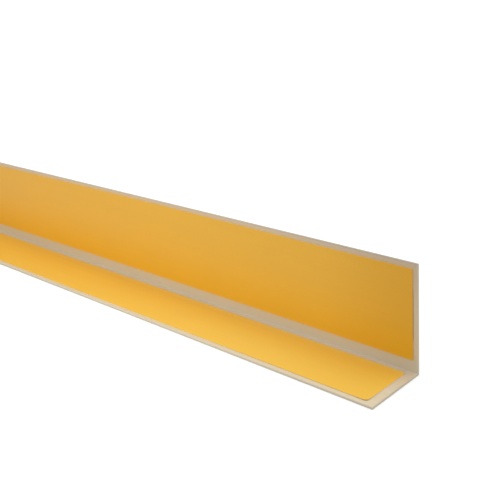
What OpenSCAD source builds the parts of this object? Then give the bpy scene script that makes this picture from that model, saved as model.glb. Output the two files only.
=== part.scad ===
// Self-adhesive angle profile in rigid PVC, a length of stock with unequal legs.
// It stands on its shorter leg, the foot. X runs along the length, Y across the foot, Z up the upright.
// The origin is on the floor, under the middle of the footprint. Sizes are in millimetres.

/* [Angle] */
// Length of the stock, between its two saw cuts
stock_length = 1000; // [200:10:3000]
// Height of the upright leg, over the outside
upright_h = 60; // [30:1:120]
// Width of the foot, over the outside
foot_w = 40; // [25:1:100]
// Thickness of both legs
wall = 1.5; // [1:0.1:4]

/* [Rounded edges] */
// Radius of the outer edge where the legs meet
heel_r = 1; // [0.2:0.1:3]
// Radius of the fillet in the inner corner
corner_r = 0.8; // [0.3:0.1:2]
// Radius of the two edges at the free end of each leg
tip_r = 0.5; // [0.1:0.05:1]

/* [Tape on the upright] */
// Bare width between the corner fillet and the tape
upright_tape_gap = 5.9; // [1:0.1:12]
// Bare width between the tape and the top of the upright
upright_tape_margin = 2.5; // [1:0.1:6]
// Bare length between the tape and each end of the stock
upright_tape_end = 2.5; // [1:0.1:20]

/* [Tape on the foot] */
// Bare width between the corner fillet and the tape
foot_tape_gap = 2.7; // [0.2:0.1:6]
// Bare width between the tape and the front of the foot
foot_tape_margin = 2.5; // [1:0.1:6]
// Bare length between the tape and each end of the stock
foot_tape_end = 4.8; // [1:0.1:20]

/* [Tape layers] */
// Thickness of the adhesive
adhesive_t = 0.2; // [0.1:0.05:1]
// Thickness of the yellow liner that peels off the adhesive
liner_t = 0.1; // [0.05:0.01:0.2]
// Distance by which the liner stands out past the adhesive on all four edges
liner_lip = 0.1; // [0.1:0.1:1]

/* [Hidden] */
$fn = 48;

pvc_colour = [0.87, 0.79, 0.66];
adhesive_colour = [0.72, 0.60, 0.36];
liner_colour = [0.94, 0.72, 0.28];

// An outer radius past this one would thin the corner, and a tip radius past its share would close the tip
heel_edge_r = min(heel_r, wall + corner_r);
tip_share = 0.45;
tip_edge_r = min(tip_r, tip_share * wall);

// Each tape runs from the end of the corner fillet, plus its gap, to its margin at the leg's free edge
upright_tape_start = wall + corner_r + upright_tape_gap;
upright_tape_w = upright_h - upright_tape_margin - upright_tape_start;
upright_tape_l = stock_length - 2 * upright_tape_end;
foot_tape_start = wall + corner_r + foot_tape_gap;
foot_tape_w = foot_w - foot_tape_margin - foot_tape_start;
foot_tape_l = stock_length - 2 * foot_tape_end;

// Flat shape between two edges that meet square at the origin and the arc that touches both.
// It is taken away to round an outer edge and added to fill an inner one, and it reaches back past the edges.
module edge_round(r) {
    reach = wall / 2;
    difference() {
        translate([-reach, -reach]) square(r + reach);
        translate([r, r]) circle(r);
    }
}

// The L, drawn with its heel at the origin: X out along the foot, Y up the upright
module angle_section() {
    difference() {
        union() {
            square([foot_w, wall]);
            square([wall, upright_h]);
            translate([wall, wall]) edge_round(corner_r);
        }
        edge_round(heel_edge_r);
        translate([foot_w, 0]) mirror([1, 0]) edge_round(tip_edge_r);
        translate([foot_w, wall]) rotate(180) edge_round(tip_edge_r);
        translate([0, upright_h]) mirror([0, 1]) edge_round(tip_edge_r);
        translate([wall, upright_h]) rotate(180) edge_round(tip_edge_r);
    }
}

// Runs a flat shape drawn as the section is along the stock, about the middle of its length
module along_stock(run_length) {
    translate([0, foot_w / 2, 0])
        rotate([90, 0, -90])
            linear_extrude(height = run_length, center = true) children();
}

// One layer of a tape that lies on the upright, at a height above the inner face
module upright_layer(above, thickness, inset) {
    along_stock(upright_tape_l - 2 * inset)
        translate([wall + above, upright_tape_start + inset])
            square([thickness, upright_tape_w - 2 * inset]);
}

// One layer of a tape that lies on the foot, at a height above the inner face
module foot_layer(above, thickness, inset) {
    along_stock(foot_tape_l - 2 * inset)
        translate([foot_tape_start + inset, wall + above])
            square([foot_tape_w - 2 * inset, thickness]);
}

module angle_profile() {
    color(pvc_colour) along_stock(stock_length) angle_section();
}

module adhesive_upright() {
    color(adhesive_colour) upright_layer(0, adhesive_t, liner_lip);
}

module adhesive_foot() {
    color(adhesive_colour) foot_layer(0, adhesive_t, liner_lip);
}

module liner_upright() {
    color(liner_colour) upright_layer(adhesive_t, liner_t, 0);
}

module liner_foot() {
    color(liner_colour) foot_layer(adhesive_t, liner_t, 0);
}

angle_profile();
adhesive_upright();
adhesive_foot();
liner_upright();
liner_foot();
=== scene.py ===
"""Looks of a self-adhesive PVC angle profile: the extruded angle, its two lined tapes and a plain studio."""

import math
import bpy
from bpy.props import FloatProperty, FloatVectorProperty, IntProperty, PointerProperty
from bpy.types import Operator, Panel, PropertyGroup
from mathutils import Matrix, Vector


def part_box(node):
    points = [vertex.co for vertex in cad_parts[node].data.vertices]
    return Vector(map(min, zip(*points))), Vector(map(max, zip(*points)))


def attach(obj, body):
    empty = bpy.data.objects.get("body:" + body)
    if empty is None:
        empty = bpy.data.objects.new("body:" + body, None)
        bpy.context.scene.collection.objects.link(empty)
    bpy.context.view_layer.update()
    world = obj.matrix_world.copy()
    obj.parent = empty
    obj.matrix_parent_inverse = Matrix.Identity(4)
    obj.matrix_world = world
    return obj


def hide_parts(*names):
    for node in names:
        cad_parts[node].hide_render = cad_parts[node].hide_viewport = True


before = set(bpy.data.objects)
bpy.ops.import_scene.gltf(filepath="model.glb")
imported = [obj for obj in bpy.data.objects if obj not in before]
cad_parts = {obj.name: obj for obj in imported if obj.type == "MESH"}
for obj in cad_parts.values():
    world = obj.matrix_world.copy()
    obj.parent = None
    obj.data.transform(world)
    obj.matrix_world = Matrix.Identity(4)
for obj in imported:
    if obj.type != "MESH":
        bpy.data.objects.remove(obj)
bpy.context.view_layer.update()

bl_info = {
    "name": "PVC angle profile",
    "version": (1, 0, 0),
    "blender": (4, 5, 0),
    "location": "3D View > Sidebar > Angle",
    "description": "Models the finish of a self-adhesive PVC angle profile and its studio",
    "category": "Object",
}

BODY = "root"

# Sizes that the packed model gives, in metres
ANGLE_LOW, ANGLE_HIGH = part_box("angle_profile")
STOCK_LENGTH = ANGLE_HIGH.x - ANGLE_LOW.x
HALF_LENGTH = STOCK_LENGTH / 2
FOOT_WIDTH = ANGLE_HIGH.y - ANGLE_LOW.y
UPRIGHT_HEIGHT = ANGLE_HIGH.z - ANGLE_LOW.z
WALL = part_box("adhesive_foot")[0].z - ANGLE_LOW.z
INNER_FACE_Y = ANGLE_HIGH.y - WALL
FRONT_Y = ANGLE_LOW.y
UPRIGHT_TAPE_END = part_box("liner_upright")[1].x

# Marks of each pattern in a metre of the stock: along it, across its foot and up its upright
DIE_LINES = (1.5, 700.0, 700.0)
WIDE_LINES = (0.8, 130.0, 130.0)
PVC_CLOUDS = (14.0, 30.0, 30.0)
PVC_GRAIN = (2600.0, 2600.0, 2600.0)
SCUFFS = (22.0, 1900.0, 1900.0)
SAW_WAVER = (1.0, 300.0, 300.0)
PAPER_FIBRE = (420.0, 420.0, 420.0)
PAPER_CLOUDS = (35.0, 60.0, 60.0)
PAPER_GRAIN = (1500.0, 2100.0, 2100.0)
SLITTING_LINES = (1.2, 380.0, 380.0)
GLUE_STREAKS = (90.0, 900.0, 900.0)

# Marks of a slit edge, in a metre along the tape and over twice its width
EDGE_WANDER = (7.0, 2.0, 1.0)
# Marks of the liner's shallow waves, in a metre along the tape and across it
COCKLES = (28.0, 60.0, 1.0)

# Height of the fine relief, in metres
PVC_RELIEF = 0.000005
PAPER_RELIEF = 0.000005
GLUE_RELIEF = 0.00001

# Stretches over which a mark fades in or out, in metres: heights above the floor
# Heights of the painted shadow lines by the ends of the upright's tape
SHADOW_LINE_BOTTOM = (0.017, 0.022)
SHADOW_LINE_TOP = (0.042, 0.050)
BETWEEN_TAPES = (0.002, 0.006)

# Distances from the line in which the inner faces meet
# Reach of the dusting and painted shade in the corner, and of the painted shade on the upright's bare strip
DUST_AND_SHADE_SPREAD = (0.003, 0.010)
CORNER_SHADE_SPREAD = (0.006, 0.012)

# Places across the foot
FRONT_STRIP = (FRONT_Y + 0.0025, FRONT_Y + 0.005)
GLUE_FRONT = (FRONT_Y + 0.003, FRONT_Y + 0.0045)
INNER_SIDE_FROM = (0.0, INNER_FACE_Y - 0.004)
INNER_SIDE_TO = (INNER_FACE_Y + 0.4 * WALL, ANGLE_HIGH.y)

# Distances from the middle of the stock
# Painted shade on the strip in front of the foot's tape, and on the upright's liner
STRIP_SHADE_REACH = (0.2, 0.34)
LINER_SHADE_FROM = (0.15, 0.26)
LINER_SHADE_TO = (HALF_LENGTH - 0.08, HALF_LENGTH)
# Painted shadow lines along the foot's front, and by the end of the upright's tape
SHADOW_FRONT = (0.36, 0.43)
TAPE_END_SHADOW_FROM = (UPRIGHT_TAPE_END - 0.0002, UPRIGHT_TAPE_END)
TAPE_END_SHADOW_TO = (UPRIGHT_TAPE_END + 0.0002, UPRIGHT_TAPE_END + 0.0004)

# The saw that cut the stock: the middle of its blade and the distance between its marks, in metres
BLADE_Y, BLADE_Z = -0.06, -0.13
SAW_PITCH = 0.0006

# Share of a tape's drift that reaches its edge by the inner corner
CORNER_SIDE_DRIFT = 0.3
# Edges sharper than this are bevelled, in radians
SHARP_EDGE = 1.2

# The softboxes, in metres: where each hangs, the point that it faces, and its two sides
OVERHEAD_PLACE, OVERHEAD_AIM, OVERHEAD_SIDES = (0.3, 0.3, 1.5), (0.3, 0.0, 0.0), (2.2, 1.6)
FRONT_PLACE_YZ, FRONT_AIM_YZ, FRONT_SIDES = (-0.26, 0.10), (0.0, 0.03), (0.2, 0.1)
FRONT_X = {"front_right": 0.30, "front_left": -0.35}

# The camera's film width in millimetres, and the nearest and farthest it sees in metres
FILM_WIDTH = 36.0
NEAREST, FARTHEST = 0.01, 50.0


class AngleShape(PropertyGroup):
    """Edges of the extruded angle"""

    heel_radius: FloatProperty(
        name="Heel radius", default=0.001, unit="LENGTH",
        description="Outer edge where the legs meet",
    )
    corner_radius: FloatProperty(
        name="Corner radius", default=0.0008, unit="LENGTH",
        description="Fillet in the inner corner",
    )
    tip_radius: FloatProperty(
        name="Tip radius", default=0.0005, unit="LENGTH",
        description="Edges at the free end of each leg",
    )
    cut_chamfer: FloatProperty(
        name="Cut chamfer", default=0.00018, unit="LENGTH",
        description="Burr scraped off the saw cuts",
    )
    arc_points: IntProperty(
        name="Arc points", default=9, min=2,
        description="Points along each rounded edge",
    )


class TapeShape(PropertyGroup):
    """Small irregularities of the tapes"""

    upright_corner: FloatProperty(
        name="Upright corner", default=0.0009, unit="LENGTH",
        description="Rounding of the corners of the upright's tape",
    )
    foot_corner: FloatProperty(
        name="Foot corner", default=0.0022, unit="LENGTH",
        description="Rounding of the corners of the foot's tape",
    )
    upright_drift: FloatProperty(
        name="Upright drift", default=0.00045, unit="LENGTH",
        description="How far the upright's tape drifts towards the top",
    )
    foot_drift: FloatProperty(
        name="Foot drift", default=0.00025, unit="LENGTH",
        description="How far the foot's tape drifts towards the front",
    )
    drift_period: FloatProperty(
        name="Drift period", default=0.48, unit="LENGTH",
        description="Length over which a tape drifts out and back",
    )
    drift_peak: FloatProperty(
        name="Drift peak", default=0.27, unit="LENGTH",
        description="Where along the stock the tapes lie furthest out",
    )
    edge_wander: FloatProperty(
        name="Edge wander", default=0.0001, unit="LENGTH",
        description="How far a slit edge strays from straight",
    )
    cockle: FloatProperty(
        name="Cockle", default=0.00005, unit="LENGTH",
        description="Height of the liner's shallow waves",
    )
    corner_lift: FloatProperty(
        name="Corner lift", default=0.0003, unit="LENGTH",
        description="Height of the loose corner of the foot's liner",
    )
    lift_reach: FloatProperty(
        name="Lift reach", default=0.014, unit="LENGTH",
        description="How far the liner is loose from that corner",
    )
    glue_creep: FloatProperty(
        name="Glue creep", default=0.0001, unit="LENGTH",
        description="How far the adhesive has crept out under the liner",
    )
    glue_round: FloatProperty(
        name="Glue rounding", default=0.00003, unit="LENGTH",
        description="Soft edge of the adhesive layer",
    )
    stations: IntProperty(
        name="Stations", default=200, min=2,
        description="Points along each tape",
    )
    lanes: IntProperty(
        name="Lanes", default=25, min=2,
        description="Points across each tape",
    )


class Colours(PropertyGroup):
    """Colours of the pieces"""

    pvc: FloatVectorProperty(
        name="PVC", default=(0.715, 0.63, 0.465), subtype="COLOR",
        description="Beige of the rigid PVC",
    )
    # Painted shade on the upright's inner side: grey by its ends, and warmed between by painted light
    # bounced off the liners
    pvc_deep: FloatVectorProperty(
        name="Shaded PVC", default=(0.64, 0.485, 0.31), subtype="COLOR",
        description="Painted shade on the upright's inner side by its ends",
    )
    pvc_warm: FloatVectorProperty(
        name="Warm shaded PVC", default=(0.70, 0.49, 0.24), subtype="COLOR",
        description="Painted shade, warmed by painted bounce light, on the upright's inner side away from its ends",
    )
    # Painted shade on the free edges and in the fillet
    pvc_edge: FloatVectorProperty(
        name="PVC edge shade", default=(0.46, 0.39, 0.30), subtype="COLOR",
        description="Painted shade on the free edges and in the fillet",
    )
    pvc_cut: FloatVectorProperty(
        name="Cut PVC", default=(0.76, 0.69, 0.50), subtype="COLOR",
        description="Paler tone where the plastic was sawn",
    )
    # Painted highlight along the outer side of each cut
    pvc_burr: FloatVectorProperty(
        name="PVC cut highlight", default=(0.95, 0.91, 0.77), subtype="COLOR",
        description="Painted highlight along the outer side of each cut",
    )
    # Grey dusting, with painted shade in the inner corner
    dust: FloatVectorProperty(
        name="Dust and shade", default=(0.63, 0.60, 0.49), subtype="COLOR",
        description="Grey dusting and painted shade in the inner corner",
    )
    liner: FloatVectorProperty(
        name="Liner", default=(0.86, 0.445, 0.020), subtype="COLOR",
        description="Yellow of the release liner",
    )
    # Painted light and painted shade on the liners
    liner_faded: FloatVectorProperty(
        name="Lit liner", default=(0.885, 0.57, 0.095), subtype="COLOR",
        description="Painted light on the liner",
    )
    liner_deep: FloatVectorProperty(
        name="Shaded liner", default=(0.765, 0.385, 0.016), subtype="COLOR",
        description="Painted shade on the liner at the upright's ends",
    )
    adhesive: FloatVectorProperty(
        name="Adhesive", default=(0.92, 0.80, 0.56), subtype="COLOR",
        description="Pale straw of the adhesive's edge",
    )
    # Painted shadow line, and painted light, on the adhesive's edges
    adhesive_brown: FloatVectorProperty(
        name="Adhesive shadow line", default=(0.30, 0.16, 0.05), subtype="COLOR",
        description="Dark painted shadow line at the adhesive's edge",
    )
    adhesive_dusty: FloatVectorProperty(
        name="Lit adhesive", default=(1.0, 0.96, 0.88), subtype="COLOR",
        description="Adhesive with pale dust stuck to it",
    )


class Ageing(PropertyGroup):
    """Dusting, painted light and painted shade: a share mid-stock, one at the ends, and the metres in which
    it changes
    """

    # Painted light: the PVC is paler towards its ends
    paleness: FloatVectorProperty(
        name="PVC painted light", default=(0.94, 1.02, 0.32),
        description="Painted light: how pale the PVC is, paler towards its ends",
    )
    # Painted shade on the upright's inner side
    upright_depth: FloatVectorProperty(
        name="Upright shade", default=(0.4, 0.6, 0.06),
        description="Painted shade at the foot of the upright's inner side",
    )
    upright_grey: FloatVectorProperty(
        name="Upright shade grey", default=(0.0, 1.0, 0.35),
        description="Change from the warm painted shade to the grey one on the upright's inner side",
    )
    # Painted shade on the free edges
    top_edge: FloatVectorProperty(
        name="Top edge shade", default=(0.7, 1.0, 0.15),
        description="Painted shade on the upright's free edge",
    )
    front_edge: FloatVectorProperty(
        name="Front edge shade", default=(0.1, 0.4, 0.15),
        description="Painted shade on the foot's free edge",
    )
    # Grey dusting with painted shade in the corner, and painted shade in the fillet
    dust: FloatVectorProperty(
        name="Dust and shade", default=(0.36, 0.6, 0.06),
        description="Dusting and painted shade on the bare strip of the upright",
    )
    grime: FloatVectorProperty(
        name="Fillet shade", default=(0.28, 0.38, 0.1),
        description="Painted shade in the fillet",
    )
    # Painted shade high on the upright, and on its bare strip
    top_soil: FloatVectorProperty(
        name="Top shade", default=(0.0, 0.1, 0.12),
        description="Painted shade on the upper half of the upright",
    )
    corner_soil: FloatVectorProperty(
        name="Corner strip shade", default=(0.0, 0.06, 0.05),
        description="Painted shade on the bare strip of the upright",
    )
    # Painted light and painted shade on the liners
    foot_fading: FloatVectorProperty(
        name="Foot liner light", default=(0.45, 1.0, 0.35),
        description="Painted light on the foot's liner",
    )
    foot_kept: FloatVectorProperty(
        name="Foot light kept", default=(1.0, 0.8, 0.1),
        description="Share of that painted light kept, less towards the ends",
    )
    foot_dullness: FloatVectorProperty(
        name="Foot front shade", default=(0.06, 0.0, 0.42),
        description="Painted shade on the foot's liner towards its front",
    )
    upright_fading: FloatVectorProperty(
        name="Upright liner light", default=(0.45, 1.2, 0.35),
        description="Painted light on the upright's liner",
    )
    upright_handling: FloatVectorProperty(
        name="Upright end shade", default=(0.0, 1.0, 0.07),
        description="Painted shade on the upright's liner towards its ends",
    )
    # Painted shadow line on the upright's adhesive
    glue_handling: FloatVectorProperty(
        name="Upright glue shadow", default=(0.0, 1.0, 0.005),
        description="Painted shadow line on the upright's adhesive halfway up its ends",
    )
    # These are the same all along the stretch where they show: painted shade and painted shadow lines
    strip_dullness: FloatProperty(
        name="Strip shade", default=0.05, subtype="FACTOR", min=0.0, max=1.0,
        description="Painted shade on the strip in front of the foot's tape",
    )
    upright_dullness: FloatProperty(
        name="Upright liner shade", default=0.03, subtype="FACTOR", min=0.0, max=1.0,
        description="Painted shade on the upright's liner on the way to its ends",
    )
    stuck_dirt: FloatProperty(
        name="Tape end shadow", default=0.3, subtype="FACTOR", min=0.0, max=1.0,
        description="Painted shadow line along the bare edge of the upright's adhesive",
    )
    front_browning: FloatProperty(
        name="Front shadow line", default=0.45, subtype="FACTOR", min=0.0, max=1.0,
        description="Painted shadow line on the foot's adhesive along its front",
    )


class Studio(PropertyGroup):
    """Camera and light"""

    camera_place: FloatVectorProperty(
        name="Camera place", default=(0.70094, -0.29421, 0.21555), subtype="XYZ", unit="LENGTH",
        description="Where the camera stands",
    )
    camera_turn: FloatProperty(
        name="Camera turn", default=math.radians(44.802), subtype="ANGLE",
        description="Turn to the left from looking along Y",
    )
    camera_dip: FloatProperty(
        name="Camera dip", default=math.radians(21.277), subtype="ANGLE",
        description="Tilt below level",
    )
    camera_roll: FloatProperty(
        name="Camera roll", default=math.radians(-4.635), subtype="ANGLE",
        description="Roll about the line of sight",
    )
    camera_lens: FloatProperty(
        name="Lens", default=60.612, unit="CAMERA",
        description="Focal length in millimetres",
    )
    sky_light: FloatProperty(
        name="Sky light", default=0.565, subtype="FACTOR", min=0.0, max=1.0,
        description="Strength of the even light from all round",
    )
    overhead_power: FloatProperty(
        name="Overhead", default=15.4, unit="POWER",
        description="Power of the softbox overhead",
    )
    front_power: FloatProperty(
        name="Front", default=0.21, unit="POWER",
        description="Power of each small softbox in front",
    )
    floor_half: FloatProperty(
        name="Floor half", default=6.0, unit="LENGTH",
        description="Half the width of the floor",
    )
    floor_tone: FloatProperty(
        name="Floor tone", default=0.6, subtype="FACTOR", min=0.0, max=1.0,
        description="How pale the floor is to the light",
    )
    floor_seen: FloatProperty(
        name="Floor colour", default=0.6, subtype="FACTOR", min=0.0, max=1.0,
        description="How pale the floor looks where light and shadow fall on it",
    )
    floor_glow: FloatProperty(
        name="Floor glow", default=0.5, subtype="FACTOR", min=0.0, max=1.0,
        description="Share of the floor's white that no shadow takes away",
    )
    far_glow: FloatProperty(
        name="Far glow", default=0.75, subtype="FACTOR", min=0.0, max=1.0,
        description="The same share far from the object, where less light falls",
    )
    glow_from: FloatProperty(
        name="Glow from", default=0.6, unit="LENGTH",
        description="How far from the object the floor begins to glow more",
    )
    glow_to: FloatProperty(
        name="Glow to", default=2.4, unit="LENGTH",
        description="How far from the object it glows most",
    )


class Wire:
    """One output socket of a node tree; arithmetic on it adds Math nodes."""

    def __init__(self, tree, socket):
        self.tree = tree
        self.socket = socket

    def math(self, operation, *others):
        """A Math node on this value, and on a second one where the operation takes two."""
        values = dict(enumerate((self, *others)))
        return grow(self.tree, "ShaderNodeMath", {"operation": operation}, values)

    def __add__(self, other):
        return self.math("ADD", other)

    def __sub__(self, other):
        return self.math("SUBTRACT", other)

    def __rsub__(self, other):
        return grow(self.tree, "ShaderNodeMath", {"operation": "SUBTRACT"}, {0: other, 1: self})

    def __mul__(self, other):
        return self.math("MULTIPLY", other)

    def __truediv__(self, other):
        return self.math("DIVIDE", other)

    __radd__ = __add__
    __rmul__ = __mul__

    def rising(self, low, high):
        """0 at low and 1 at high, smooth and held at both ends."""
        settings = {"interpolation_type": "SMOOTHSTEP"}
        sockets = {"Value": self, "From Min": low, "From Max": high}
        return grow(self.tree, "ShaderNodeMapRange", settings, sockets)

    def falling(self, low, high):
        """1 at low and 0 at high."""
        return 1.0 - self.rising(low, high)

    def within(self, start, end):
        """Rises over the start and falls over the end, each a low and a high value."""
        return self.rising(*start) * self.falling(*end)

    def parts(self):
        """The X, Y and Z of a vector, as three wires."""
        node = add_node(self.tree, "ShaderNodeSeparateXYZ", {}, {"Vector": self})
        return [Wire(self.tree, output) for output in node.outputs]


def add_node(tree, kind, settings, sockets):
    """Adds a node: its settings first, and then a value or wire for each socket."""
    node = tree.nodes.new(kind)
    for name, value in settings.items():
        setattr(node, name, value)
    for key, value in sockets.items():
        if isinstance(value, Wire):
            tree.links.new(value.socket, node.inputs[key])
        else:
            node.inputs[key].default_value = value
    return node


def grow(tree, kind, settings, sockets, output=0):
    """Adds a node and gives one of its outputs."""
    return Wire(tree, add_node(tree, kind, settings, sockets).outputs[output])


def vector(tree, x, y, z):
    """One vector from three numbers or wires."""
    return grow(tree, "ShaderNodeCombineXYZ", {}, {"X": x, "Y": y, "Z": z})


def vector_math(operation, first, second):
    """A Vector Math node on two vectors."""
    return grow(first.tree, "ShaderNodeVectorMath", {"operation": operation}, {0: first, 1: second})


def scaled(direction, distance):
    """A vector times a number."""
    sockets = {"Vector": direction, "Scale": distance}
    return grow(direction.tree, "ShaderNodeVectorMath", {"operation": "SCALE"}, sockets)


def diagonal(first, second):
    """How long the diagonal is between two distances at right angles."""
    return (first * first + second * second).math("SQRT")


def noise(place, marks, detail=2.0, roughness=0.5):
    """Noise from -1 to 1; marks counts its features in a metre along X, Y and Z."""
    spread = vector_math("MULTIPLY", place, marks)
    sockets = {"Vector": spread, "Scale": 1.0, "Detail": detail, "Roughness": roughness}
    return grow(place.tree, "ShaderNodeTexNoise", {}, sockets) * 2.0 - 1.0


def new_tree(name, inputs):
    """A Geometry Nodes tree with these named inputs, and a wire for each by name."""
    tree = bpy.data.node_groups.new(name, "GeometryNodeTree")
    tree.interface.new_socket("Geometry", in_out="OUTPUT", socket_type="NodeSocketGeometry")
    for label, kind in inputs.items():
        tree.interface.new_socket(label, in_out="INPUT", socket_type=kind)
    start = add_node(tree, "NodeGroupInput", {}, {})
    return tree, {label: Wire(tree, start.outputs[label]) for label in inputs}


def close_tree(geometry, material):
    """Ends a tree with its instances realized and its material set."""
    tree = geometry.tree
    real = grow(tree, "GeometryNodeRealizeInstances", {}, {"Geometry": geometry})
    dressed = grow(tree, "GeometryNodeSetMaterial", {}, {"Geometry": real, "Material": material})
    add_node(tree, "NodeGroupOutput", {}, {0: dressed})


def make_piece(name, tree, inputs, finishing):
    """The plain mesh that a tree and its finishing modifiers make, as an object at the origin."""
    blank = bpy.data.objects.new(name + "_blank", bpy.data.meshes.new(name + "_blank"))
    bpy.context.scene.collection.objects.link(blank)
    shape = blank.modifiers.new("Shape", "NODES")
    shape.node_group = tree
    for item in tree.interface.items_tree:
        if item.in_out == "INPUT":
            shape[item.identifier] = inputs[item.name]
    for kind, settings in finishing:
        modifier = blank.modifiers.new(kind.title(), kind)
        for setting, value in settings.items():
            setattr(modifier, setting, value)
    graph = bpy.context.evaluated_depsgraph_get()
    mesh = bpy.data.meshes.new_from_object(blank.evaluated_get(graph), depsgraph=graph)
    bpy.data.objects.remove(blank)
    if not mesh.polygons:
        raise RuntimeError(name + " came out empty")
    mesh.name = name
    piece = bpy.data.objects.new(name, mesh)
    bpy.context.scene.collection.objects.link(piece)
    return piece


def bevelled(width):
    """Bevel settings that break the sharp edges of a piece."""
    return {"width": width, "segments": 2, "limit_method": "ANGLE", "angle_limit": SHARP_EDGE}


def thickened(node):
    """Solidify settings that give a tape layer its node's thickness, below its top face."""
    low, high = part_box(node)
    return {"thickness": min(high.y - low.y, high.z - low.z), "offset": -1.0}


def hand_over(piece, node):
    """The piece stands for its CAD node, which it hides, and rides on the body."""
    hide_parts(node)
    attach(piece, BODY)


def pick(index, kind, choices):
    """The choice that belongs to each index, one for each point of the section."""
    node = add_node(index.tree, "GeometryNodeIndexSwitch", {"data_type": kind}, {"Index": index})
    while len(node.index_switch_items) < len(choices):
        node.index_switch_items.new()
    for number, choice in enumerate(choices):
        index.tree.links.new(choice.socket, node.inputs[str(number)])
    return Wire(index.tree, node.outputs[0])


def angle_tree():
    """Geometry Nodes that round the corners of the L and run it along the stock."""
    labels = ["Length", "Foot width", "Upright height", "Wall", "Heel radius", "Corner radius", "Tip radius"]
    inputs = dict.fromkeys(labels, "NodeSocketFloat")
    inputs.update({"Arc points": "NodeSocketInt", "Material": "NodeSocketMaterial"})
    tree, size = new_tree("Extruded angle", inputs)
    foot, upright, wall = size["Foot width"], size["Upright height"], size["Wall"]
    heel, corner, tip = size["Heel radius"], size["Corner radius"], size["Tip radius"]
    corners = [
        (0.0, 0.0, heel),
        (foot, 0.0, tip),
        (foot, wall, tip),
        (wall, wall, corner),
        (wall, upright, tip),
        (0.0, upright, tip),
    ]
    index = grow(tree, "GeometryNodeInputIndex", {}, {})
    point = pick(index, "VECTOR", [vector(tree, x, y, 0.0) for x, y, radius in corners])
    radius = pick(index, "FLOAT", [radius for x, y, radius in corners])

    line = grow(tree, "GeometryNodeCurvePrimitiveLine", {}, {})
    points = grow(tree, "GeometryNodeResampleCurve", {}, {"Curve": line, "Count": len(corners)})
    placed = grow(tree, "GeometryNodeSetPosition", {}, {"Geometry": points, "Position": point})
    outline = grow(tree, "GeometryNodeSetSplineCyclic", {}, {"Geometry": placed, "Cyclic": True})
    rounding = {"Curve": outline, "Count": size["Arc points"], "Radius": radius}
    section = grow(tree, "GeometryNodeFilletCurve", {"mode": "POLY"}, rounding)

    half = size["Length"] * 0.5
    ends = {"Start": vector(tree, -1.0 * half, 0.0, 0.0), "End": vector(tree, half, 0.0, 0.0)}
    path = grow(tree, "GeometryNodeCurvePrimitiveLine", {}, ends)
    sweep = {"Curve": path, "Profile Curve": section, "Fill Caps": True}
    stock = grow(tree, "GeometryNodeCurveToMesh", {}, sweep)
    # The sweep hangs the section upside down, so half a turn about Y stands it on its foot
    standing = {
        "Geometry": stock,
        "Rotation": (0.0, math.pi, 0.0),
        "Translation": vector(tree, 0.0, foot * 0.5, 0.0),
    }
    close_tree(grow(tree, "GeometryNodeTransform", {}, standing), size["Material"])
    return tree


def strip_tree():
    """Geometry Nodes for the top face of one tape layer: a strip with round corners and shallow waves."""
    lengths = ["Length", "Width", "Corner radius", "Edge wander", "Cockle", "Corner lift", "Lift reach"]
    lengths += ["Free side", "Drift", "Drift period", "Drift peak"]
    inputs = dict.fromkeys(lengths, "NodeSocketFloat")
    inputs.update(dict.fromkeys(["Stations", "Lanes"], "NodeSocketInt"))
    inputs.update(dict.fromkeys(["Middle", "Across", "Up", "Seed"], "NodeSocketVector"))
    inputs["Material"] = "NodeSocketMaterial"
    tree, size = new_tree("Tape strip", inputs)
    grid = {"Size X": 1.0, "Size Y": 1.0, "Vertices X": size["Stations"], "Vertices Y": size["Lanes"]}
    sheet = grow(tree, "GeometryNodeMeshGrid", {}, grid)
    along, across = grow(tree, "GeometryNodeInputPosition", {}, {}).parts()[:2]

    # Stations crowd towards both ends, where the corners are rounded
    half_length = size["Length"] * 0.5
    x = half_length * (along * math.pi).math("SINE")
    from_end = half_length - x.math("ABSOLUTE")
    radius = size["Corner radius"]
    into_corner = (radius - from_end).math("MAXIMUM", 0.0)
    inset = radius - (radius * radius - into_corner * into_corner).math("SQRT")
    half_width = size["Width"] * 0.5 - inset
    seed = size["Seed"]
    wander = noise(vector_math("ADD", vector(tree, x, across * 0.5, 0.0), seed), EDGE_WANDER)
    # The tape is laid by hand: its free edge drifts out and back, and the edge by the corner hardly does
    swing = (x - size["Drift peak"]) * (2 * math.pi) / size["Drift period"]
    share = (1 + CORNER_SIDE_DRIFT) / 2 * size["Free side"] + (1 - CORNER_SIDE_DRIFT) * across
    drift = size["Drift"] * swing.math("COSINE") * share
    y = across * 2.0 * half_width + size["Edge wander"] * wander + drift

    waves = noise(vector_math("ADD", vector(tree, x, y, 0.0), seed), COCKLES)
    from_corner = diagonal(half_length - x, size["Width"] * 0.5 + y)
    curl = (1.0 - from_corner / size["Lift reach"]).math("MAXIMUM", 0.0)
    height = size["Cockle"] * (0.5 + 0.5 * waves) + size["Corner lift"] * curl * curl

    place = vector_math("ADD", size["Middle"], vector(tree, x, 0.0, 0.0))
    place = vector_math("ADD", place, scaled(size["Across"], y))
    place = vector_math("ADD", place, scaled(size["Up"], height))
    laid = grow(tree, "GeometryNodeSetPosition", {}, {"Geometry": sheet, "Position": place})
    close_tree(laid, size["Material"])
    return tree


def new_material(name):
    """An empty material, and the wire of the piece's own coordinates in it."""
    material = bpy.data.materials.new(name)
    material.use_nodes = True
    material.node_tree.nodes.clear()
    return material, grow(material.node_tree, "ShaderNodeTexCoord", {}, {}, "Object")


def close_material(material, sockets):
    """Ends a material with its shader, which takes these values and wires."""
    tree = material.node_tree
    shader = grow(tree, "ShaderNodeBsdfPrincipled", {}, sockets)
    add_node(tree, "ShaderNodeOutputMaterial", {}, {"Surface": shader})
    return material


def colour(rgb, tone=1.0):
    """A colour with its alpha, made darker or paler by a tone other than 1."""
    return (*(tone * channel for channel in rgb), 1.0)


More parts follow.
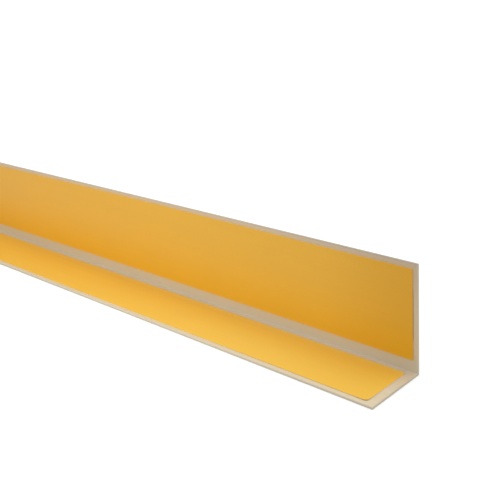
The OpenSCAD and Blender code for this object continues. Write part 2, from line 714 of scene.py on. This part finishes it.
def grey(level):
    """A grey, from 0 for black to 1 for white."""
    return (level, level, level, 1.0)


def mix_colours(share, first, second):
    """A blend from the first colour to the second."""
    sockets = {"Factor": share, 6: first, 7: second}
    return grow(share.tree, "ShaderNodeMix", {"data_type": "RGBA"}, sockets, 2)


def bump(height, distance):
    """A normal from a height between -1 and 1; distance is the height of 1, in metres."""
    return grow(height.tree, "ShaderNodeBump", {}, {"Height": height, "Distance": distance, "Strength": 1.0})


class Spot:
    """The spot of a surface that is being shaded: where it lies on the stock."""

    def __init__(self, place):
        self.place = place
        self.x, self.y, self.z = place.parts()
        self.from_middle = self.x.math("ABSOLUTE")

    def by_ends(self, reach):
        """0 along most of the stock, and up to 1 over the last stretch before each end."""
        return self.from_middle.rising(HALF_LENGTH - reach, HALF_LENGTH)

    def graded(self, grading):
        """A share that goes from one value mid-stock to another at the ends, over the last stretch."""
        middle, end, reach = grading
        return middle + (end - middle) * self.by_ends(reach)

    def on_foot_tape(self):
        """1 on the foot's tape and 0 on the upright's."""
        return self.z.falling(*BETWEEN_TAPES)

    def halfway_up(self):
        """1 over the middle heights of the upright, where the painted shadow lines by its tape's ends lie.
        """
        return self.z.within(SHADOW_LINE_BOTTOM, SHADOW_LINE_TOP)


class InnerCorner:
    """How a spot lies to the inner faces and to the fillet between them."""

    def __init__(self, spot, shape):
        to_upright, to_foot = INNER_FACE_Y - spot.y, spot.z - WALL
        tip, radius = shape.tip_radius, shape.corner_radius
        self.distance = diagonal(to_upright, to_foot)
        # 1 on the inner faces, and 0 on all others
        self.inside = to_upright.rising(-0.6 * tip, -0.2 * tip) * to_foot.rising(-0.6 * tip, -0.2 * tip)
        # 1 on the foot's inner face, and 0 on the upright's
        self.on_foot = to_upright.rising(0.375 * radius, 1.5 * radius)
        self.in_fillet = self.distance.falling(radius, 1.75 * radius)
        # Painted shade in the fillet
        self.grimy = self.inside * self.distance.falling(0.375 * radius, 1.25 * radius)
        # The fillet is rough and without gloss where the dusting and painted shade lie
        self.matt = self.inside * self.distance.falling(radius, 2.5 * radius)


def worn_edges(base, spot, tip, colours, dust_and_light):
    """Painted shade along the free edge of each leg."""
    top_edge = spot.z.rising(UPRIGHT_HEIGHT - 1.4 * tip, UPRIGHT_HEIGHT - 0.6 * tip)
    front_edge = spot.y.falling(FRONT_Y + 0.2 * tip, FRONT_Y + tip)
    edge_shade = spot.graded(dust_and_light.top_edge) * top_edge + spot.graded(dust_and_light.front_edge) * front_edge
    return mix_colours(edge_shade, base, colour(colours.pvc_edge))


def dusty_corner(base, spot, corner, colours, dust_and_light):
    """Grey dusting with painted shade on the bare strips of the inner corner, and painted shade in its
    fillet.
    """
    # The dusting and painted shade are thin on the foot's strip, and half as strong in the fillet
    lying = spot.graded(dust_and_light.dust) * (1.0 - 0.65 * corner.on_foot) * (1.0 - 0.5 * corner.in_fillet)
    dust_and_shade_share = lying * corner.inside * corner.distance.falling(*DUST_AND_SHADE_SPREAD)
    grimy = spot.graded(dust_and_light.grime) * corner.grimy
    base = mix_colours(dust_and_shade_share, base, colour(colours.dust))
    return mix_colours(grimy, base, colour(colours.pvc_edge))


def soil(spot, corner, inner_side, dust_and_light):
    """Share of the light that painted shade takes away from the inner side."""
    high_up = spot.z.rising(0.6 * UPRIGHT_HEIGHT, UPRIGHT_HEIGHT)
    top_soil = spot.graded(dust_and_light.top_soil) * inner_side * high_up
    off_foot = corner.inside * (1.0 - corner.on_foot)
    corner_soil = spot.graded(dust_and_light.corner_soil) * off_foot * corner.distance.falling(*CORNER_SHADE_SPREAD)
    # A painted shadow line runs along the bare edge of the adhesive
    glue_edge_shadow = corner.inside * spot.halfway_up() * spot.from_middle.within(TAPE_END_SHADOW_FROM, TAPE_END_SHADOW_TO)
    return top_soil + corner_soil + dust_and_light.stuck_dirt * glue_edge_shadow


def saw_marks(spot):
    """Arcs about the middle of the blade that cut the stock."""
    from_blade = diagonal(spot.y - BLADE_Y, spot.z - BLADE_Z)
    waver = 2.0 * noise(spot.place, SAW_WAVER)
    return (from_blade * (2 * math.pi / SAW_PITCH) + waver).math("SINE")


def pvc_material(shape, colours, dust_and_light):
    """Satin rigid PVC with die lines along the stock, painted shade on its free edges and inner side, and
    paler saw-cut ends with a painted highlight.
    """
    material, place = new_material("rigid_pvc")
    spot = Spot(place)
    corner = InnerCorner(spot, shape)
    tip, chamfer = shape.tip_radius, shape.cut_chamfer
    die_lines = noise(place, DIE_LINES, detail=3.0, roughness=0.6)
    wide_lines = noise(place, WIDE_LINES)
    clouds = noise(place, PVC_CLOUDS)
    grain = noise(place, PVC_GRAIN, detail=1.0)
    # Hairline scuffs from handling
    scuffs = noise(place, SCUFFS).rising(0.25, 0.6)
    cut = spot.from_middle.rising(HALF_LENGTH - 1.2 * chamfer, HALF_LENGTH - 0.4 * chamfer)

    tone = 0.5 + 0.45 * die_lines + 0.3 * wide_lines + 0.3 * clouds + 0.5 * grain - 1.4 * scuffs
    base = mix_colours(tone, colour(colours.pvc, 0.955), colour(colours.pvc, 1.045))
    # Painted shade: the strip in front of the foot's tape is darker along the middle of the stock
    strip_shading = dust_and_light.strip_dullness * spot.y.falling(*FRONT_STRIP) * spot.from_middle.falling(*STRIP_SHADE_REACH)
    # Painted light: the PVC is painted paler towards its ends
    base = scaled(base, spot.graded(dust_and_light.paleness) - strip_shading)
    # Painted shade on the inner side, deeper towards the upright and up it: greyer by the ends, and warmed
    # between by painted light bounced off the liners
    inner_side = spot.y.within(INNER_SIDE_FROM, INNER_SIDE_TO)
    inner_shade = inner_side * (spot.graded(dust_and_light.upright_depth) + 0.45 * spot.z / UPRIGHT_HEIGHT)
    shade_greyness = spot.graded(dust_and_light.upright_grey)
    upright_shade_tone = mix_colours(shade_greyness, colour(colours.pvc_warm), colour(colours.pvc_deep))
    base = mix_colours(inner_shade, base, upright_shade_tone)
    base = worn_edges(base, spot, tip, colours, dust_and_light)
    base = dusty_corner(base, spot, corner, colours, dust_and_light)
    # Painted shade darkens the inner side
    base = scaled(base, 1.0 - soil(spot, corner, inner_side, dust_and_light))
    # Painted highlight: a pale line along the outer side of each cut
    cut_highlight = cut * spot.y.rising(ANGLE_HIGH.y - 1.1 * tip, ANGLE_HIGH.y - 0.5 * tip)
    base = mix_colours(0.7 * cut, base, colour(colours.pvc_cut))
    base = mix_colours(cut_highlight, base, colour(colours.pvc_burr))

    extruded = 2.0 * die_lines + 2.0 * wide_lines + 0.4 * grain - scuffs
    relief = (1.0 - cut) * extruded + cut * 3.0 * saw_marks(spot)
    roughness = 0.40 + 0.05 * die_lines + 0.04 * clouds + 0.1 * scuffs + 0.25 * cut + 0.35 * corner.matt
    sockets = {
        "Base Color": base,
        "Roughness": roughness,
        "IOR": 1.53,
        "Normal": bump(relief, PVC_RELIEF),
    }
    return close_material(material, sockets)


def liner_material(colours, dust_and_light):
    """Yellow silicone-coated release paper: a soft sheen over cloudy fibre and fine slitting lines."""
    material, place = new_material("tape_liner")
    spot = Spot(place)
    fibre = noise(place, PAPER_FIBRE, detail=4.0, roughness=0.65)
    clouds = noise(place, PAPER_CLOUDS, detail=3.0)
    lines = noise(place, SLITTING_LINES)
    grain = noise(place, PAPER_GRAIN, detail=3.0, roughness=0.7)
    on_foot = spot.on_foot_tape()
    on_upright = 1.0 - on_foot
    # How far out on the foot, from 0 at the upright's inner face to 1 at the front edge
    outward = (INNER_FACE_Y - spot.y) / (INNER_FACE_Y - FRONT_Y)

    # Painted light: the foot's liner is paler than the upright's, most towards its front and its ends,
    # and a little along its inner edge
    foot_light = spot.graded(dust_and_light.foot_fading) * (0.2 + 0.85 * outward.rising(-0.2, 0.75))
    foot_light = foot_light * spot.graded(dust_and_light.foot_kept) + 0.3 * outward.falling(0.08, 0.2)
    # Painted light on the upright's liner, paler up it
    upright_light = spot.graded(dust_and_light.upright_fading) * (0.08 + 0.16 * spot.z / UPRIGHT_HEIGHT)
    lit_share = on_foot * foot_light + on_upright * upright_light
    # Painted shade on the upright's liner towards its ends
    end_shade_share = on_upright * spot.graded(dust_and_light.upright_handling)
    base = mix_colours(lit_share, colour(colours.liner), colour(colours.liner_faded))
    base = mix_colours(end_shade_share, base, colour(colours.liner_deep))
    # Painted shade: the foot's liner is darker towards its front, and the upright's a little on the way to
    # its ends
    foot_liner_shading = spot.graded(dust_and_light.foot_dullness) * outward.rising(0.3, 1.0)
    upright_liner_shading = dust_and_light.upright_dullness * spot.from_middle.within(LINER_SHADE_FROM, LINER_SHADE_TO)
    liner_shading = on_foot * foot_liner_shading + on_upright * upright_liner_shading
    base = scaled(base, 1.0 - liner_shading + 0.012 * fibre + 0.02 * clouds + 0.02 * lines + 0.07 * grain)

    relief = 1.5 * fibre + 2.5 * lines + 3.0 * clouds + grain
    sockets = {
        "Base Color": base,
        "Roughness": 0.38 + 0.05 * fibre + 0.05 * clouds + 0.05 * grain,
        "IOR": 1.41,
        "Normal": bump(relief, PAPER_RELIEF),
    }
    return close_material(material, sockets)


def adhesive_material(colours, dust_and_light):
    """Straw-coloured acrylic adhesive, glossy and a little uneven at its cut edge."""
    material, place = new_material("tape_adhesive")
    spot = Spot(place)
    streaks = noise(place, GLUE_STREAKS, detail=3.0)
    base = mix_colours(0.5 + 0.4 * streaks, colour(colours.adhesive, 0.85), colour(colours.adhesive))
    front = spot.y.falling(*GLUE_FRONT)
    # Painted light: the adhesive is painted paler along the foot's ends
    foot_end_light = spot.on_foot_tape() * spot.by_ends(0.010).rising(0.0, 0.3)
    base = mix_colours(foot_end_light * (1.0 - front), base, colour(colours.adhesive_dusty))
    # Painted shadow lines in a dark tone: along the foot's front near its ends, and halfway up the upright's
    # ends
    front_shadow = dust_and_light.front_browning * spot.from_middle.rising(*SHADOW_FRONT) * front
    shadow_line_share = front_shadow + spot.halfway_up() * spot.graded(dust_and_light.glue_handling)
    sockets = {
        "Base Color": mix_colours(shadow_line_share, base, colour(colours.adhesive_brown)),
        "Roughness": 0.28 + 0.08 * streaks,
        "IOR": 1.48,
        "Normal": bump(streaks, GLUE_RELIEF),
    }
    return close_material(material, sockets)


class ANGLE_OT_extrude_profile(Operator):
    """Makes the extruded angle with its rounded edges and its two saw-cut ends"""

    bl_idname = "angle.extrude_profile"
    bl_label = "Extrude profile"

    def execute(self, context):
        scene = context.scene
        shape = scene.angle_shape
        inputs = {
            "Length": STOCK_LENGTH,
            "Foot width": FOOT_WIDTH,
            "Upright height": UPRIGHT_HEIGHT,
            "Wall": WALL,
            "Heel radius": shape.heel_radius,
            "Corner radius": shape.corner_radius,
            "Tip radius": shape.tip_radius,
            "Arc points": shape.arc_points,
            "Material": pvc_material(shape, scene.angle_colours, scene.angle_ageing),
        }
        smooth = {"mode": "FACE_AREA", "keep_sharp": True}
        finishing = [("BEVEL", bevelled(shape.cut_chamfer)), ("WEIGHTED_NORMAL", smooth)]
        piece = make_piece("extruded_angle", angle_tree(), inputs, finishing)
        hand_over(piece, "angle_profile")
        return {"FINISHED"}


def strip_inputs(node, material, shape):
    """Place and size of a tape layer's top face, from the node that it stands for."""
    low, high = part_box(node)
    middle = (low + high) / 2
    if node.endswith("foot"):
        middle.z = high.z
        by_leg = {
            "Width": high.y - low.y,
            "Across": Vector((0, 1, 0)),
            "Up": Vector((0, 0, 1)),
            "Free side": -1.0,
            "Corner radius": shape.foot_corner,
            "Drift": shape.foot_drift,
            "Seed": Vector((3.1, 7.7, 0)),
        }
    else:
        middle.y = low.y
        by_leg = {
            "Width": high.z - low.z,
            "Across": Vector((0, 0, 1)),
            "Up": Vector((0, -1, 0)),
            "Free side": 1.0,
            "Corner radius": shape.upright_corner,
            "Drift": shape.upright_drift,
            "Seed": Vector((11.3, 1.9, 0)),
        }
    return {
        "Length": high.x - low.x,
        "Middle": middle,
        "Edge wander": shape.edge_wander,
        "Cockle": 0.0,
        "Corner lift": 0.0,
        "Lift reach": shape.lift_reach,
        "Stations": shape.stations,
        "Lanes": shape.lanes,
        "Drift period": shape.drift_period,
        "Drift peak": shape.drift_peak,
        "Material": material,
        **by_leg,
    }


class ANGLE_OT_lay_adhesive(Operator):
    """Lays the adhesive layer on the inner face of each leg"""

    bl_idname = "angle.lay_adhesive"
    bl_label = "Lay adhesive"

    def execute(self, context):
        scene = context.scene
        shape = scene.angle_tapes
        material = adhesive_material(scene.angle_colours, scene.angle_ageing)
        tree = strip_tree()
        for node in ("adhesive_foot", "adhesive_upright"):
            inputs = strip_inputs(node, material, shape)
            inputs["Length"] += 2 * shape.glue_creep
            inputs["Width"] += 2 * shape.glue_creep
            finishing = [("SOLIDIFY", thickened(node)), ("BEVEL", bevelled(shape.glue_round))]
            piece = make_piece(node + "_layer", tree, inputs, finishing)
            hand_over(piece, node)
        return {"FINISHED"}


class ANGLE_OT_lay_liners(Operator):
    """Lays the yellow liner over each adhesive layer"""

    bl_idname = "angle.lay_liners"
    bl_label = "Lay liners"

    def execute(self, context):
        scene = context.scene
        shape = scene.angle_tapes
        material = liner_material(scene.angle_colours, scene.angle_ageing)
        tree = strip_tree()
        for node in ("liner_foot", "liner_upright"):
            inputs = strip_inputs(node, material, shape)
            inputs["Cockle"] = shape.cockle
            if node == "liner_foot":
                inputs["Corner lift"] = shape.corner_lift
            piece = make_piece(node + "_sheet", tree, inputs, [("SOLIDIFY", thickened(node))])
            hand_over(piece, node)
        return {"FINISHED"}


def seen_rays(tree):
    """1 for the rays that show the stage itself: from the camera, or by way of a glossy or clear surface."""
    rays = add_node(tree, "ShaderNodeLightPath", {}, {})
    names = ["Is Camera Ray", "Is Glossy Ray", "Is Transmission Ray"]
    camera, glossy, through = [Wire(tree, rays.outputs[name]) for name in names]
    return (camera + glossy + through).math("MINIMUM", 1.0)


def floor_material(studio):
    """Pale and without gloss, and near white to the camera and in reflections, apart from shadow."""
    material, place = new_material("pale_floor")
    x, y = place.parts()[:2]
    seen = seen_rays(place.tree)
    # Less light reaches the floor far from the object, so it glows more there and stays white
    far = diagonal(x, y).rising(studio.glow_from, studio.glow_to)
    seen_glow = mix_colours(far, grey(studio.floor_glow), grey(studio.far_glow))
    sockets = {
        "Base Color": mix_colours(seen, grey(studio.floor_tone), grey(studio.floor_seen)),
        "Roughness": 1.0,
        "Specular IOR Level": 0.0,
        "Emission Color": mix_colours(seen, grey(0.0), seen_glow),
        "Emission Strength": 1.0,
    }
    return close_material(material, sockets)


def lay_floor(studio):
    """One flat face, far wider than the stock."""
    half = studio.floor_half
    corners = [(-half, -half, 0), (half, -half, 0), (half, half, 0), (-half, half, 0)]
    mesh = bpy.data.meshes.new("floor")
    mesh.from_pydata(corners, [], [(0, 1, 2, 3)])
    mesh.materials.append(floor_material(studio))
    floor = bpy.data.objects.new("floor", mesh)
    bpy.context.scene.collection.objects.link(floor)


def light_sky(studio):
    """Even light from all round, seen as white by the camera and in reflections."""
    world = bpy.data.worlds.new("studio")
    bpy.context.scene.world = world
    world.use_nodes = True
    tree = world.node_tree
    tree.nodes.clear()
    strength = studio.sky_light + (1.0 - studio.sky_light) * seen_rays(tree)
    sky = grow(tree, "ShaderNodeBackground", {}, {"Color": grey(1.0), "Strength": strength})
    add_node(tree, "ShaderNodeOutputWorld", {}, {"Surface": sky})


def hang_softbox(name, place, aim, sides, power):
    """One flat soft lamp, which no camera or glossy surface shows as a panel."""
    data = bpy.data.lights.new(name, "AREA")
    data.shape = "RECTANGLE"
    data.size, data.size_y = sides
    data.energy = power
    lamp = bpy.data.objects.new(name, data)
    lamp.visible_camera = False
    lamp.visible_glossy = False
    lamp.location = place
    lamp.rotation_euler = (Vector(aim) - Vector(place)).to_track_quat("-Z", "Y").to_euler()
    bpy.context.scene.collection.objects.link(lamp)


def set_camera(studio):
    """Camera at the photograph's angle, with no shift."""
    data = bpy.data.cameras.new("camera")
    data.sensor_width = FILM_WIDTH
    data.lens = studio.camera_lens
    data.clip_start, data.clip_end = NEAREST, FARTHEST
    camera = bpy.data.objects.new("camera", data)
    turn = Matrix.Rotation(studio.camera_turn, 4, "Z")
    dip = Matrix.Rotation(math.pi / 2 - studio.camera_dip, 4, "X")
    roll = Matrix.Rotation(studio.camera_roll, 4, "Z")
    camera.matrix_world = Matrix.Translation(studio.camera_place) @ turn @ dip @ roll
    bpy.context.scene.collection.objects.link(camera)
    bpy.context.scene.camera = camera


class ANGLE_OT_set_stage(Operator):
    """Sets up the pale floor, the soft light and the camera"""

    bl_idname = "angle.set_stage"
    bl_label = "Set stage"

    def execute(self, context):
        studio = context.scene.angle_studio
        context.scene.view_settings.view_transform = "Standard"
        lay_floor(studio)
        light_sky(studio)
        hang_softbox("overhead", OVERHEAD_PLACE, OVERHEAD_AIM, OVERHEAD_SIDES, studio.overhead_power)
        for name, x in FRONT_X.items():
            hang_softbox(name, (x, *FRONT_PLACE_YZ), (x, *FRONT_AIM_YZ), FRONT_SIDES, studio.front_power)
        set_camera(studio)
        return {"FINISHED"}


class ANGLE_PT_panel(Panel):
    """Lists the pieces, the stage and their settings"""

    bl_label = "PVC angle profile"
    bl_idname = "ANGLE_PT_panel"
    bl_space_type = "VIEW_3D"
    bl_region_type = "UI"
    bl_category = "Angle"

    def draw(self, context):
        for operator in OPERATORS:
            self.layout.operator(operator.bl_idname)
        for group, settings in GROUPS.items():
            box = self.layout.box()
            box.label(text=settings.__doc__)
            for name in settings.__annotations__:
                box.prop(getattr(context.scene, group), name)


OPERATORS = [ANGLE_OT_extrude_profile, ANGLE_OT_lay_adhesive, ANGLE_OT_lay_liners, ANGLE_OT_set_stage]
GROUPS = {
    "angle_shape": AngleShape,
    "angle_tapes": TapeShape,
    "angle_colours": Colours,
    "angle_ageing": Ageing,
    "angle_studio": Studio,
}


def register():
    for group, settings in GROUPS.items():
        bpy.utils.register_class(settings)
        setattr(bpy.types.Scene, group, PointerProperty(type=settings))
    for shown in OPERATORS + [ANGLE_PT_panel]:
        bpy.utils.register_class(shown)


def unregister():
    for shown in reversed(OPERATORS + [ANGLE_PT_panel]):
        bpy.utils.unregister_class(shown)
    for group, settings in GROUPS.items():
        delattr(bpy.types.Scene, group)
        bpy.utils.unregister_class(settings)


def main():
    register()
    bpy.ops.angle.extrude_profile()
    bpy.ops.angle.lay_adhesive()
    bpy.ops.angle.lay_liners()
    bpy.ops.angle.set_stage()


if __name__ == "__main__":
    main()
